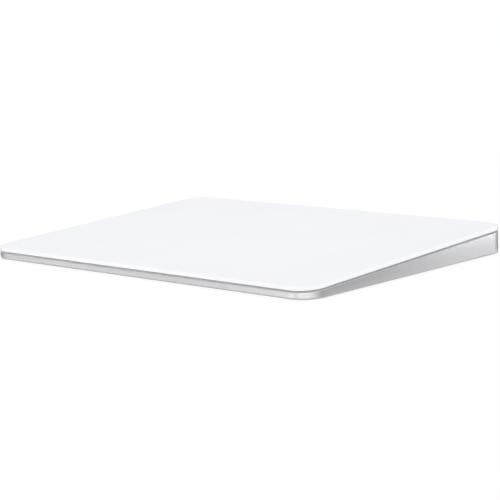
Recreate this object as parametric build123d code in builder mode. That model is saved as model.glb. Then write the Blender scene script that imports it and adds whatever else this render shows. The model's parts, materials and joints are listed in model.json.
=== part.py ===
from build123d import *
import math
import os

# A desk trackpad: a white glass touch plate on a machined aluminium wedge. The origin is on
# the desk under the middle of the plan, +X to the user's right, +Y to the rear, +Z up.
# Sizes are in millimetres and angles in degrees.

# Outer form
width = 160.0
depth = 114.9
front_height = 4.9
rear_height = 10.9
corner_radius = 8.2
foot_standout = 0.5

# Touch plate, from the top face down
glass_thickness = 1.4
glass_edge_radius = 0.35
glass_lower_chamfer = 0.1
bond_thickness = 0.1
bond_margin = 2.6
sensor_board_thickness = 0.5
sensor_board_margin = 4.0
stiffener_thickness = 0.4
stiffener_side_margin = 7.0
stiffener_rear_margin = 13.4
stiffener_corner_radius = 5.0
plate_press_travel = 0.2
plate_shake_travel = 0.1

# Aluminium housing
wall = 1.8
floor = 1.0
rim_gap = 0.55
rim_chamfer = 0.2
bottom_radius = 0.6
pocket_bevel = 0.4

# Seal in the gap under the glass
seal_setback = 0.65
seal_width = 0.9
seal_thickness = 0.3

# Feet
foot_radius = 4.2
foot_edge_bevel = 0.2
foot_recess_depth = 0.3
foot_clearance = 0.1
foot_from_edge = 12.0

# Force beams and their pads
beam_thickness = 0.7
beam_from_side = 5.0
beam_from_front = 19.5
beam_from_rear = 21.5
beam_root_length = 10.0
beam_root_width = 8.4
beam_neck_length = 6.5
beam_neck_width = 4.4
beam_tip_radius = 3.4
beam_edge_fillet = 0.8
beam_tip_clearance = 0.3
beam_side_clearance = 0.5
pedestal_margin = 0.4
pad_radius = 2.8
pad_thickness = 0.8
gauge_length = 4.6
gauge_width = 2.6
gauge_thickness = 0.08

# Screws, one kind throughout, drawn with few sides because they repeat and lie hidden
screw_sides = 12
screw_head_radius = 1.25
screw_head_height = 0.35
screw_shank_radius = 0.6
screw_bite = 0.7
screw_tip_room = 0.1
screw_hole_clearance = 0.1
thread_clearance = 0.02

# Battery
battery_depth = 31.0
battery_from_rear = 13.9
battery_side_gap = 2.0
battery_headroom = 0.5
battery_corner_radius = 1.4
battery_edge_bevel = 0.6
battery_terrace_length = 5.0
battery_terrace_inset = 3.0
battery_terrace_thickness = 0.5
guard_board_inset = 0.4
guard_board_thickness = 0.8
adhesive_thickness = 0.2
adhesive_width = 8.0
adhesive_channel = 10.0
rib_thickness = 0.8
rib_height = 1.4
rib_gap = 0.4
rib_corner_length = 9.0

# Logic board and what stands on it
board_thickness = 0.6
board_depth = 9.2
board_wall_gap = 1.2
board_end_margin = 2.75
board_corner_radius = 1.0
boss_radius = 1.8
board_screw_middle = 22.0
board_screw_from_end = 9.5
processor_shield_length_share = 0.256
processor_shield_place_share = 0.276
radio_shield_length_share = 0.165
radio_shield_place_share = 0.566
shield_depth = 7.4
shield_height = 1.5
shield_thickness = 0.2
shield_corner_radius = 0.6
antenna_length_share = 0.236
antenna_place_share = 0.867
antenna_height = 3.4
antenna_strip = 1.1
antenna_thickness = 0.3
connector_depth = 2.4
connector_height = 0.9
touch_connector_width = 9.0
touch_connector_x = 13.0
connector_setback = 1.4
battery_connector_width = 4.6
flex_thickness = 0.15
touch_flex_width = 7.6
touch_flex_reach = 2.4
battery_flex_width = 3.6
haptic_flex_width = 5.0
haptic_flex_tab = 1.2
haptic_connector_width = 6.4
gauge_ribbon_width = 1.6
gauge_ribbon_run_out = 0.6
gauge_connector_width = 3.0
passive_length = 1.6
passive_width = 0.8
passive_height = 0.7
passive_pitch = 1.7
passive_count = 3
passive_place_share = 0.065
controller_side = 7.0
controller_height = 0.8
controller_x = 40.0
controller_from_front = 42.0
controller_window_gap = 2.2

# Rear port, the common oval reversible kind
port_shell_width = 8.94
port_shell_height = 3.16
port_shell_thickness = 0.3
port_shell_length = 6.7
port_mouth_recess = 0.35
port_aperture_clearance = 0.13
port_tongue_width = 6.69
port_tongue_thickness = 0.7
port_tongue_setback = 0.9
port_insulator_depth = 1.6
port_contact_count = 12
port_contact_pitch = 0.5
port_contact_width = 0.25
port_contact_length = 3.2
port_contact_thickness = 0.04
port_contact_setback = 0.5
port_leg_width = 1.0
port_leg_clearance = 0.1
aperture_chamfer = 0.25

# Power switch
switch_from_side = 34.0
switch_travel = 3.0
slider_length = 6.4
slider_height = 2.6
slider_edge_bevel = 0.25
slider_recess = 0.1
slider_end_clearance = 0.2
slider_side_clearance = 0.2
slider_back_clearance = 0.2
stem_length = 1.6
stem_height = 1.0
stem_clearance = 0.2
switch_plate_thickness = 0.5
switch_plate_margin = 1.3
marker_thickness = 0.05
clip_thickness = 0.5
clip_margin = 0.9
clip_gap = 0.15
switch_body_length = 9.0
switch_body_height = 3.0
switch_body_depth = 3.2
switch_slot_depth = 1.1

# Haptic drive
haptic_gap = 2.0
haptic_headroom = 0.55
bracket_thickness = 0.4
bracket_ear = 4.4
bracket_ear_width = 5.0
pole_length = 14.0
pole_width = 4.0
pole_pitch = 8.0
pole_count = 3
core_back = 2.6
coil_side_wall = 1.1
coil_top_wall = 0.45
coil_end_gap = 0.6
coil_corner_cut = 0.35
armature_width = 6.0
armature_side_clearance = 0.25
armature_lift_clearance = 0.15

# One overrun serves every cut that has to pass right through
overrun = 1.0

half_turn = 180

# The deck is the tilted top face of the glass, and drops are measured square to it
tilt = math.degrees(math.atan2(rear_height - front_height, depth))
deck = Plane.XY.offset((front_height + rear_height) / 2).rotated((tilt, 0, 0))
deck_axis = Axis(deck.origin, deck.z_dir)
slope = math.tan(math.radians(tilt))
floor_top = foot_standout + floor
front_y = -depth / 2
rear_y = depth / 2
rear_wall_inner_y = rear_y - wall
rim_drop = glass_thickness + rim_gap
board_drop = glass_thickness + bond_thickness
stiffener_drop = board_drop + sensor_board_thickness
pad_drop = stiffener_drop + stiffener_thickness
beam_drop = pad_drop + pad_thickness
pedestal_drop = beam_drop + beam_thickness
tall = rear_height + overrun
thread_radius = screw_shank_radius + thread_clearance
hole_radius = screw_shank_radius + screw_hole_clearance


def deck_down(drop):
    """The plane parallel to the top face and drop below it."""
    return deck.offset(-drop)


def height_below_deck(y, drop):
    """Height over the desk of a point drop below the top face, at plan position y."""
    middle_height = (front_height + rear_height) / 2
    return middle_height + y * slope - drop / math.cos(math.radians(tilt))


def outline(inset):
    """The plan outline, drawn in by inset, in the sketch that is open."""
    RectangleRounded(width - 2 * inset, depth - 2 * inset, corner_radius - inset)


def save(piece, name):
    """Labels a finished piece and writes it under its own name."""
    piece.part.label = name
    export_step(piece.part, f"parts/{name}.step")


# Where things stand, worked out from the sizes
beam_relief = plate_press_travel + beam_tip_clearance
armature_gap = plate_shake_travel + armature_side_clearance
armature_lift = plate_press_travel + armature_lift_clearance
port_height = (foot_standout + height_below_deck(rear_y, rim_drop)) / 2
board_top = port_height - port_shell_height / 2
board_bottom = board_top - board_thickness
board_rear_y = rear_wall_inner_y - board_wall_gap
board_front_y = board_rear_y - board_depth
board_middle_y = (board_rear_y + board_front_y) / 2
switch_x = width / 2 - switch_from_side

beam_length = beam_root_length + beam_neck_length + 2 * beam_tip_radius
beam_outer_x = width / 2 - beam_from_side
beam_root_x = beam_outer_x - beam_root_length / 2
beam_neck_x = beam_outer_x - beam_root_length - beam_neck_length / 2
beam_tip_x = beam_outer_x - beam_length + beam_tip_radius
beam_front_s = (front_y + beam_from_front) / math.cos(math.radians(tilt))
beam_rear_s = (rear_y - beam_from_rear) / math.cos(math.radians(tilt))
beam_screw_offset = beam_root_length / 4

# The logic board reaches out under both gauge ribbons
board_reach = beam_neck_x + gauge_connector_width / 2 + board_end_margin
board_end_screw_x = board_reach - board_screw_from_end
board_screw_places = [
    (-board_end_screw_x, board_middle_y),
    (board_screw_middle, board_middle_y),
    (board_end_screw_x, board_middle_y),
]

corner_names = ["front_left", "front_right", "rear_left", "rear_right"]
corner_signs = [(-1, -1), (1, -1), (-1, 1), (1, 1)]
corners = list(zip(corner_names, corner_signs))

battery_rear_y = rear_y - battery_from_rear
battery_front_y = battery_rear_y - battery_depth
battery_middle_y = (battery_rear_y + battery_front_y) / 2
battery_bottom = floor_top + adhesive_thickness
battery_top = height_below_deck(battery_front_y, pad_drop) - battery_headroom
battery_height = battery_top - battery_bottom
battery_reach = beam_tip_x - beam_tip_radius - battery_side_gap
battery_body_right_x = battery_reach - battery_terrace_length
battery_body_length = battery_reach + battery_body_right_x
battery_body_x = battery_body_right_x - battery_body_length / 2
terrace_x = battery_body_right_x + battery_terrace_length / 2
terrace_bottom = (battery_bottom + battery_top) / 2 - battery_terrace_thickness / 2
guard_board_bottom = terrace_bottom + battery_terrace_thickness

haptic_depth = (pole_count - 1) * pole_pitch + pole_width + 2 * coil_side_wall
haptic_y = battery_front_y - haptic_gap - haptic_depth / 2
bracket_top = floor_top + bracket_thickness
haptic_top = height_below_deck(haptic_y - haptic_depth / 2, pad_drop) - haptic_headroom
haptic_height = haptic_top - bracket_top
pole_face_x = armature_width / 2 + armature_gap
pole_root_x = pole_face_x + pole_length
core_outer_x = pole_root_x + core_back
bracket_screw_x = core_outer_x + bracket_ear / 2
bracket_screw_y = haptic_depth / 2 - bracket_ear_width / 2
bracket_screw_places = [
    (sx * bracket_screw_x, haptic_y + sy * bracket_screw_y) for sx in (-1, 1) for sy in (-1, 1)
]


def beam_place(signs):
    """Sign along X and position down the deck of one beam."""
    return signs[0], beam_rear_s if signs[1] > 0 else beam_front_s


def beam_screw_places(signs):
    """The two screw places of one beam, on the deck's own axes."""
    side, s = beam_place(signs)
    return [(side * (beam_root_x + k * beam_screw_offset), s) for k in (-1, 1)]


all_beam_screw_places = [p for _, signs in corners for p in beam_screw_places(signs)]

# Pedestals that carry the roots of the beams, cut off square to the deck
with BuildPart() as pedestals:
    with BuildSketch(Plane.XY.offset(foot_standout + floor / 2)):
        for _, signs in corners:
            side, s = beam_place(signs)
            with Locations((side * beam_root_x, s)):
                Rectangle(
                    beam_root_length + 2 * pedestal_margin, beam_root_width + 2 * pedestal_margin
                )
    extrude(amount=tall)
    split(bisect_by=deck_down(pedestal_drop), keep=Keep.BOTTOM)

# Room round each beam: down to the pedestal at its root, and lower under the part that flexes
with BuildPart() as root_room:
    with BuildSketch(Plane.XY.offset(foot_standout)):
        for _, signs in corners:
            side, s = beam_place(signs)
            with Locations((side * beam_root_x, s)):
                Rectangle(
                    beam_root_length + 2 * pedestal_margin, beam_root_width + 2 * pedestal_margin
                )
    extrude(amount=tall)
    split(bisect_by=deck_down(pedestal_drop), keep=Keep.TOP)

with BuildPart() as tip_room:
    with BuildSketch(Plane.XY.offset(foot_standout)):
        for _, signs in corners:
            side, s = beam_place(signs)
            free_length = beam_neck_length + 2 * beam_tip_radius
            free_outer_x = beam_outer_x - beam_root_length - pedestal_margin
            with Locations((side * (free_outer_x - free_length / 2), s)):
                Rectangle(free_length, 2 * (beam_tip_radius + beam_side_clearance))
    extrude(amount=tall)
    split(bisect_by=deck_down(pedestal_drop + beam_relief), keep=Keep.TOP)

# Housing: the machined aluminium wedge, open at the top
rear_plane = Plane(origin=(0, rear_y, port_height), x_dir=(-1, 0, 0), z_dir=(0, 1, 0))
slot_length = slider_length + switch_travel + 2 * slider_end_clearance
slot_height = slider_height + 2 * slider_side_clearance
aperture_width = port_shell_width + 2 * port_aperture_clearance
aperture_height = port_shell_height + 2 * port_aperture_clearance

with BuildPart() as base_housing:
    with BuildSketch(Plane.XY.offset(foot_standout)):
        outline(0)
    extrude(amount=tall)
    split(bisect_by=deck_down(rim_drop), keep=Keep.BOTTOM)
    fillet(edges().group_by(Axis.Z)[0], radius=bottom_radius)
    chamfer(faces().sort_by(deck_axis)[-1].edges(), length=rim_chamfer)
    # Pocket
    with BuildSketch(Plane.XY.offset(floor_top)):
        outline(wall)
    extrude(amount=tall, mode=Mode.SUBTRACT)
    pocket_floor = faces().filter_by(Axis.Z).filter_by_position(Axis.Z, floor_top, floor_top)
    chamfer(pocket_floor.edges(), length=pocket_bevel)
    # Ribs at the corners of the battery bay
    with BuildSketch(Plane.XY.offset(floor_top)):
        bay_length = battery_reach + battery_body_right_x + 2 * rib_gap
        bay_depth = battery_depth + 2 * rib_gap
        with Locations((battery_body_x, battery_middle_y)):
            RectangleRounded(
                bay_length + 2 * rib_thickness,
                bay_depth + 2 * rib_thickness,
                battery_corner_radius + rib_gap + rib_thickness,
            )
            RectangleRounded(
                bay_length, bay_depth, battery_corner_radius + rib_gap, mode=Mode.SUBTRACT
            )
            Rectangle(
                bay_length - 2 * rib_corner_length, bay_depth + 2 * overrun, mode=Mode.SUBTRACT
            )
            Rectangle(
                bay_length + 2 * overrun, bay_depth - 2 * rib_corner_length, mode=Mode.SUBTRACT
            )
    extrude(amount=rib_height)
    # Bosses under the logic board
    with BuildSketch(Plane.XY.offset(floor_top)):
        with Locations(*board_screw_places):
            Circle(boss_radius)
    extrude(amount=board_bottom - floor_top)
    # Beam pedestals and the room round the beams
    add(pedestals.part)
    add(root_room.part, mode=Mode.SUBTRACT)
    add(tip_room.part, mode=Mode.SUBTRACT)
    # Blind threaded holes
    with BuildSketch(deck_down(pedestal_drop)):
        with Locations(*all_beam_screw_places):
            RegularPolygon(thread_radius, screw_sides)
    extrude(amount=-screw_bite - screw_tip_room, mode=Mode.SUBTRACT)
    with BuildSketch(Plane.XY.offset(board_bottom)):
        with Locations(*board_screw_places):
            RegularPolygon(thread_radius, screw_sides)
    extrude(amount=-screw_bite - screw_tip_room, mode=Mode.SUBTRACT)
    with BuildSketch(Plane.XY.offset(floor_top)):
        with Locations(*bracket_screw_places):
            RegularPolygon(thread_radius, screw_sides)
    extrude(amount=-screw_bite - screw_tip_room, mode=Mode.SUBTRACT)
    # Port aperture and switch slot through the rear wall, with bright chamfered lips
    with BuildSketch(rear_plane):
        SlotOverall(aperture_width, aperture_height)
        with Locations((-switch_x, 0)):
            SlotOverall(slot_length, slot_height)
    extrude(amount=-wall - pocket_bevel, mode=Mode.SUBTRACT)
    rear_face = faces().sort_by(Axis.Y)[-1]
    lips = [edge for wire in rear_face.inner_wires() for edge in wire.edges()]
    chamfer(lips, length=aperture_chamfer)
    # Shallow seats for the feet
    with BuildSketch(Plane.XY.offset(foot_standout)):
        with GridLocations(width - 2 * foot_from_edge, depth - 2 * foot_from_edge, 2, 2):
            Circle(foot_radius + foot_clearance)
    extrude(amount=foot_recess_depth, mode=Mode.SUBTRACT)
save(base_housing, "base_housing")

# Seal on the rim, set back from the edge so that the gap reads as a dark line
with BuildPart() as perimeter_seal:
    with BuildSketch():
        outline(seal_setback)
        RectangleRounded(
            width - 2 * (seal_setback + seal_width),
            depth - 2 * (seal_setback + seal_width),
            corner_radius - seal_setback - seal_width,
            mode=Mode.SUBTRACT,
        )
    extrude(amount=tall)
    split(bisect_by=deck_down(rim_drop - seal_thickness), keep=Keep.BOTTOM)
    split(bisect_by=deck_down(rim_drop), keep=Keep.TOP)
save(perimeter_seal, "perimeter_seal")

# Feet: rubber discs with a bevelled lower edge
for corner_name, (side, end) in corners:
    with BuildPart() as foot:
        with BuildSketch():
            with Locations((side * (width / 2 - foot_from_edge), end * (depth / 2 - foot_from_edge))):
                Circle(foot_radius)
        extrude(amount=foot_standout + foot_recess_depth)
        chamfer(edges().group_by(Axis.Z)[0], length=foot_edge_bevel)
    save(foot, f"foot_{corner_name}")


def deck_slab(inset, drop, thickness):
    """A sheet under the plan outline, drawn in by inset, that lies parallel to the deck."""
    with BuildPart() as slab:
        with BuildSketch():
            outline(inset)
        extrude(amount=tall)
        split(bisect_by=deck_down(drop), keep=Keep.BOTTOM)
        split(bisect_by=deck_down(drop + thickness), keep=Keep.TOP)
    return slab


# Glass top, with a rounded upper edge and a broken lower one
glass_blank = deck_slab(0, 0, glass_thickness)
with BuildPart() as touch_glass:
    add(glass_blank.part)
    fillet(faces().sort_by(deck_axis)[-1].edges(), radius=glass_edge_radius)
    chamfer(faces().sort_by(deck_axis)[0].edges(), length=glass_lower_chamfer)
save(touch_glass, "touch_glass")

# Bond film and touch sensor board under the glass
glass_bond = deck_slab(bond_margin, glass_thickness, bond_thickness)
save(glass_bond, "glass_bond")

touch_sensor_board = deck_slab(sensor_board_margin, board_drop, sensor_board_thickness)
save(touch_sensor_board, "touch_sensor_board")

# Touch controller on the underside of the sensor board
controller_place = (-controller_x, front_y + controller_from_front)
with BuildPart() as touch_controller:
    with BuildSketch(deck_down(stiffener_drop)):
        with Locations(controller_place):
            Rectangle(controller_side, controller_side)
    extrude(amount=-controller_height)
    chamfer(edges().filter_by(deck_axis).sort_by(Axis.Y)[0], length=controller_height / 2)
save(touch_controller, "touch_controller")

# Spring-steel stiffener, with a window round the controller
with BuildPart() as stiffener_plate:
    stiffener_length = width - 2 * stiffener_side_margin
    stiffener_depth = depth - stiffener_side_margin - stiffener_rear_margin
    stiffener_middle = (stiffener_side_margin - stiffener_rear_margin) / 2
    with BuildSketch(deck_down(stiffener_drop)):
        with Locations((0, stiffener_middle)):
            RectangleRounded(stiffener_length, stiffener_depth, stiffener_corner_radius)
        with Locations(controller_place):
            window_side = controller_side + 2 * controller_window_gap
            RectangleRounded(window_side, window_side, controller_window_gap, mode=Mode.SUBTRACT)
    extrude(amount=-stiffener_thickness)
save(stiffener_plate, "stiffener_plate")

# Force beams: a screwed root, a narrow neck that bends and a round tip under the pad
for corner_name, signs in corners:
    side, s = beam_place(signs)
    with BuildPart() as force_beam:
        with BuildSketch(deck_down(beam_drop)):
            with Locations((side * beam_root_x, s)):
                Rectangle(beam_root_length, beam_root_width)
            with Locations((side * beam_neck_x, s)):
                Rectangle(beam_neck_length, beam_neck_width)
            with Locations((side * (beam_neck_x - beam_neck_length / 2), s)):
                Rectangle(2 * beam_tip_radius, beam_neck_width)
            with Locations((side * beam_tip_x, s)):
                Circle(beam_tip_radius)
        extrude(amount=-beam_thickness)
        root_corners = edges().filter_by(deck_axis).sort_by(Axis.X)
        fillet(root_corners[-2:] if side > 0 else root_corners[:2], radius=beam_edge_fillet)
        with BuildSketch(deck_down(beam_drop)):
            with Locations(*beam_screw_places(signs)):
                RegularPolygon(hole_radius, screw_sides)
        extrude(amount=-beam_thickness, mode=Mode.SUBTRACT)
    save(force_beam, f"force_beam_{corner_name}")

    # Strain gauge on the neck
    with BuildPart() as strain_gauge:
        with BuildSketch(deck_down(beam_drop)):
            with Locations((side * beam_neck_x, s)):
                Rectangle(gauge_length, gauge_width)
        extrude(amount=gauge_thickness)
    save(strain_gauge, f"strain_gauge_{corner_name}")

    # Silicone pad between the tip and the stiffener
    with BuildPart() as beam_pad:
        with BuildSketch(deck_down(pad_drop)):
            with Locations((side * beam_tip_x, s)):
                Circle(pad_radius)
        extrude(amount=-pad_thickness)
    save(beam_pad, f"beam_pad_{corner_name}")


def screw_set(seat_plane, places, grip):
    """Flat-head screws, heads standing on seat_plane, through a sheet that is grip thick."""
    with BuildPart() as screws:
        with BuildSketch(seat_plane):
            with Locations(*places):
                RegularPolygon(screw_head_radius, screw_sides)
        extrude(amount=screw_head_height)
        with BuildSketch(seat_plane):
            with Locations(*places):
                RegularPolygon(screw_shank_radius, screw_sides)
        extrude(amount=-grip - screw_bite)
    return screws


save(screw_set(deck_down(beam_drop), all_beam_screw_places, beam_thickness), "beam_screws")
save(
    screw_set(Plane.XY.offset(board_top), board_screw_places, board_thickness),
    "logic_board_screws",
)
save(
    screw_set(Plane.XY.offset(bracket_top), bracket_screw_places, bracket_thickness),
    "haptic_screws",
)

# Haptic drive: a steel bracket, two three-pole cores facing each other, and their windings
with BuildPart() as haptic_bracket:
    with BuildSketch(Plane.XY.offset(floor_top)):
        with Locations((0, haptic_y)):
            Rectangle(2 * core_outer_x, haptic_depth)
        with Locations(*bracket_screw_places):
            Rectangle(bracket_ear, bracket_ear_width)
        with Locations(*bracket_screw_places):
            RegularPolygon(hole_radius, screw_sides, mode=Mode.SUBTRACT)
    extrude(amount=bracket_thickness)
save(haptic_bracket, "haptic_bracket")

pole_places = [haptic_y + (k - (pole_count - 1) / 2) * pole_pitch for k in range(pole_count)]
pole_height = haptic_height - 2 * coil_top_wall
pole_bottom = bracket_top + coil_top_wall
coil_length = pole_length - 2 * coil_end_gap
for side_name, side in (("left", -1), ("right", 1)):
    with BuildPart() as haptic_core:
        with BuildSketch(Plane.XY.offset(bracket_top)):
            with Locations((side * (pole_root_x + core_back / 2), haptic_y)):
                Rectangle(core_back, haptic_depth)
        extrude(amount=haptic_height)
        with BuildSketch(Plane.XY.offset(pole_bottom)):
            with Locations(*[(side * (pole_face_x + pole_length / 2), y) for y in pole_places]):
                Rectangle(pole_length, pole_width)
        extrude(amount=pole_height)
    save(haptic_core, f"haptic_core_{side_name}")

    coil_plane = Plane(
        origin=(side * (pole_face_x + coil_end_gap), 0, bracket_top + haptic_height / 2),
        x_dir=(0, 1, 0),
        z_dir=(side, 0, 0),
    )
    coil_centres = [(y, 0) for y in pole_places]
    with BuildPart() as haptic_coils:
        with BuildSketch(coil_plane):
            with Locations(*coil_centres):
                Rectangle(pole_width + 2 * coil_side_wall, haptic_height)
            chamfer(vertices(), length=coil_corner_cut)
            with Locations(*coil_centres):
                Rectangle(pole_width, pole_height, mode=Mode.SUBTRACT)
        extrude(amount=coil_length)
    save(haptic_coils, f"haptic_coils_{side_name}")

# Armature bar under the stiffener, between the two rows of poles
with BuildPart() as armature_bar:
    with BuildSketch(Plane.XY.offset(bracket_top + armature_lift)):
        with Locations((0, haptic_y)):
            Rectangle(armature_width, haptic_depth)
    extrude(amount=tall)
    split(bisect_by=deck_down(pad_drop), keep=Keep.BOTTOM)
save(armature_bar, "armature_bar")

# Battery: a pouch cell with a sealed terrace that carries its guard board
with BuildPart() as battery_cell:
    with BuildSketch(Plane.XY.offset(battery_bottom)):
        with Locations((battery_body_x, battery_middle_y)):
            RectangleRounded(battery_body_length, battery_depth, battery_corner_radius)
    extrude(amount=battery_height)
    levels = edges().group_by(Axis.Z)
    chamfer(levels[0] + levels[-1], length=battery_edge_bevel)
    with BuildSketch(Plane.XY.offset(terrace_bottom)):
        with Locations((terrace_x, battery_middle_y)):
            Rectangle(battery_terrace_length, battery_depth - 2 * battery_terrace_inset)
    extrude(amount=battery_terrace_thickness)
save(battery_cell, "battery_cell")

with BuildPart() as battery_guard_board:
    with BuildSketch(Plane.XY.offset(guard_board_bottom)):
        with Locations((terrace_x, battery_middle_y)):
            Rectangle(
                battery_terrace_length - 2 * guard_board_inset,
                battery_depth - 2 * (battery_terrace_inset + guard_board_inset),
            )
    extrude(amount=guard_board_thickness)
save(battery_guard_board, "battery_guard_board")

with BuildPart() as battery_adhesive:
    strip_spacing = battery_depth / 2
    with BuildSketch(Plane.XY.offset(floor_top)):
        with Locations((battery_body_x, battery_middle_y)):
            with GridLocations(0, strip_spacing, 1, 2):
                Rectangle(battery_body_length - 2 * adhesive_width, adhesive_width)
        with Locations((0, battery_middle_y)):
            Rectangle(adhesive_channel, battery_depth, mode=Mode.SUBTRACT)
    extrude(amount=adhesive_thickness)
save(battery_adhesive, "battery_adhesive")

# Logic board along the rear wall
port_rear_y = rear_y - port_mouth_recess - port_shell_length
port_leg_x = port_shell_width / 2 - port_shell_thickness / 2
port_leg_y = port_rear_y + port_leg_width
with BuildPart() as logic_board:
    with BuildSketch(Plane.XY.offset(board_bottom)):
        with Locations((0, board_middle_y)):
            RectangleRounded(2 * board_reach, board_depth, board_corner_radius)
        with Locations(*board_screw_places):
            RegularPolygon(hole_radius, screw_sides, mode=Mode.SUBTRACT)
        with Locations((-port_leg_x, port_leg_y), (port_leg_x, port_leg_y)):
            Rectangle(
                port_shell_thickness + 2 * port_leg_clearance,
                port_leg_width + 2 * port_leg_clearance,
                mode=Mode.SUBTRACT,
            )
    extrude(amount=board_thickness)
save(logic_board, "logic_board")


# What stands left of the port is spread over the free run from the port to the left screw
free_run_start = port_shell_width / 2
free_run = board_end_screw_x - screw_head_radius - free_run_start


def along_run(place_share):
    """X of a place on the free run, as a share of it from the port outwards."""
    return -free_run_start - place_share * free_run


def shield_can(place_share, length_share):
    """A pressed can with an open underside, standing on the logic board."""
    x = along_run(place_share)
    length = length_share * free_run
    with BuildPart() as can:
        with BuildSketch(Plane.XY.offset(board_top)):
            with Locations((x, board_middle_y)):
                RectangleRounded(length, shield_depth, shield_corner_radius)
        extrude(amount=shield_height)
        with BuildSketch(Plane.XY.offset(board_top)):
            with Locations((x, board_middle_y)):
                RectangleRounded(
                    length - 2 * shield_thickness,
                    shield_depth - 2 * shield_thickness,
                    shield_corner_radius - shield_thickness,
                )
        extrude(amount=shield_height - shield_thickness, mode=Mode.SUBTRACT)
    return can


processor_shield = shield_can(processor_shield_place_share, processor_shield_length_share)
save(processor_shield, "processor_shield")

radio_shield = shield_can(radio_shield_place_share, radio_shield_length_share)
save(radio_shield, "radio_shield")

# Antenna: a stamped strip on two legs towards the board's left end
antenna_length = antenna_length_share * free_run
with BuildPart() as antenna_element:
    antenna_plane = Plane(
        origin=(along_run(antenna_place_share), board_middle_y, board_top),
        x_dir=(1, 0, 0),
        z_dir=(0, -1, 0),
    )
    with BuildSketch(antenna_plane):
        with Locations((0, antenna_height - antenna_strip / 2)):
            Rectangle(antenna_length, antenna_strip)
        with Locations(
            (antenna_length / 2 - antenna_strip / 2, antenna_height / 2),
            (antenna_length / 2 - 5 * antenna_strip / 2, antenna_height / 2),
        ):
            Rectangle(antenna_strip, antenna_height)
    extrude(amount=antenna_thickness)
save(antenna_element, "antenna_element")

# Small capacitors in a row
with BuildPart() as board_capacitors:
    with BuildSketch(Plane.XY.offset(board_top)):
        with Locations((along_run(passive_place_share), board_middle_y)):
            with GridLocations(passive_pitch, 2 * passive_length, passive_count, 2):
                Rectangle(passive_width, passive_length)
    extrude(amount=passive_height)
save(board_capacitors, "board_capacitors")

# Connectors of the touch ribbon, one on each board
board_connector_y = board_front_y + connector_setback
with BuildPart() as touch_connector_lower:
    with BuildSketch(Plane.XY.offset(board_top)):
        with Locations((touch_connector_x, board_connector_y)):
            Rectangle(touch_connector_width, connector_depth)
    extrude(amount=connector_height)
save(touch_connector_lower, "touch_connector_lower")

with BuildPart() as touch_connector_upper:
    with BuildSketch(deck_down(stiffener_drop)):
        with Locations((touch_connector_x, board_connector_y)):
            Rectangle(touch_connector_width, connector_depth)
    extrude(amount=-connector_height)
save(touch_connector_upper, "touch_connector_upper")

# Touch ribbon: a U that opens to the front, so that the plate can move
with BuildPart() as touch_flex:
    ribbon_plane = Plane(
        origin=(touch_connector_x - touch_flex_width / 2, 0, 0), x_dir=(0, 1, 0), z_dir=(1, 0, 0)
    )
    ribbon_start_y = board_connector_y + connector_depth / 2
    lower_z = board_top + connector_height / 2
    upper_drop = stiffener_drop + connector_height / 2
    upper_end = deck_down(upper_drop).from_local_coords(
        Vector(0, board_connector_y + connector_depth / 2, 0)
    )
    upper_bend = deck_down(upper_drop).from_local_coords(
        Vector(0, board_connector_y + connector_depth / 2 + touch_flex_reach, 0)
    )
    with BuildSketch(ribbon_plane):
        with BuildLine():
            lower_run = Line(
                (ribbon_start_y, lower_z), (ribbon_start_y + touch_flex_reach, lower_z)
            )
            bend = JernArc(
                start=lower_run @ 1,
                tangent=lower_run % 1,
                radius=(upper_bend.Z - lower_z) / 2,
                arc_size=half_turn,
            )
            Line(bend @ 1, (upper_end.Y, upper_end.Z))
        trace(line_width=flex_thickness)
    extrude(amount=touch_flex_width)
save(touch_flex, "touch_flex")

# Battery connector and its ribbon from the guard board
guard_board_top = guard_board_bottom + guard_board_thickness
with BuildPart() as battery_connector:
    with BuildSketch(Plane.XY.offset(board_top)):
        with Locations((terrace_x, board_connector_y)):
            Rectangle(battery_connector_width, connector_depth)
    extrude(amount=connector_height)
save(battery_connector, "battery_connector")

with BuildPart() as battery_flex:
    battery_ribbon_plane = Plane(
        origin=(terrace_x - battery_flex_width / 2, 0, 0), x_dir=(0, 1, 0), z_dir=(1, 0, 0)
    )
    ribbon_on_guard = guard_board_top + flex_thickness / 2
    ribbon_on_connector = board_top + connector_height + flex_thickness / 2
    guard_rear_y = battery_rear_y - battery_terrace_inset - guard_board_inset
    with BuildSketch(battery_ribbon_plane):
        with BuildLine():
            Polyline(
                (guard_rear_y - battery_terrace_inset, ribbon_on_guard),
                (guard_rear_y, ribbon_on_guard),
                (board_connector_y - connector_depth / 2, ribbon_on_connector),
                (board_connector_y + connector_depth / 2, ribbon_on_connector),
            )
        trace(line_width=flex_thickness)
    extrude(amount=battery_flex_width)
save(battery_flex, "battery_flex")

# Haptic ribbon: tabs up to the windings, a bar along the floor behind them, and a run that
# passes under the battery and climbs to its connector
flex_on_board_z = board_top + connector_height + flex_thickness / 2
with BuildPart() as haptic_connector:
    with BuildSketch(Plane.XY.offset(board_top)):
        with Locations((0, board_connector_y)):
            Rectangle(haptic_connector_width, connector_depth)
    extrude(amount=connector_height)
save(haptic_connector, "haptic_connector")

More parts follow.
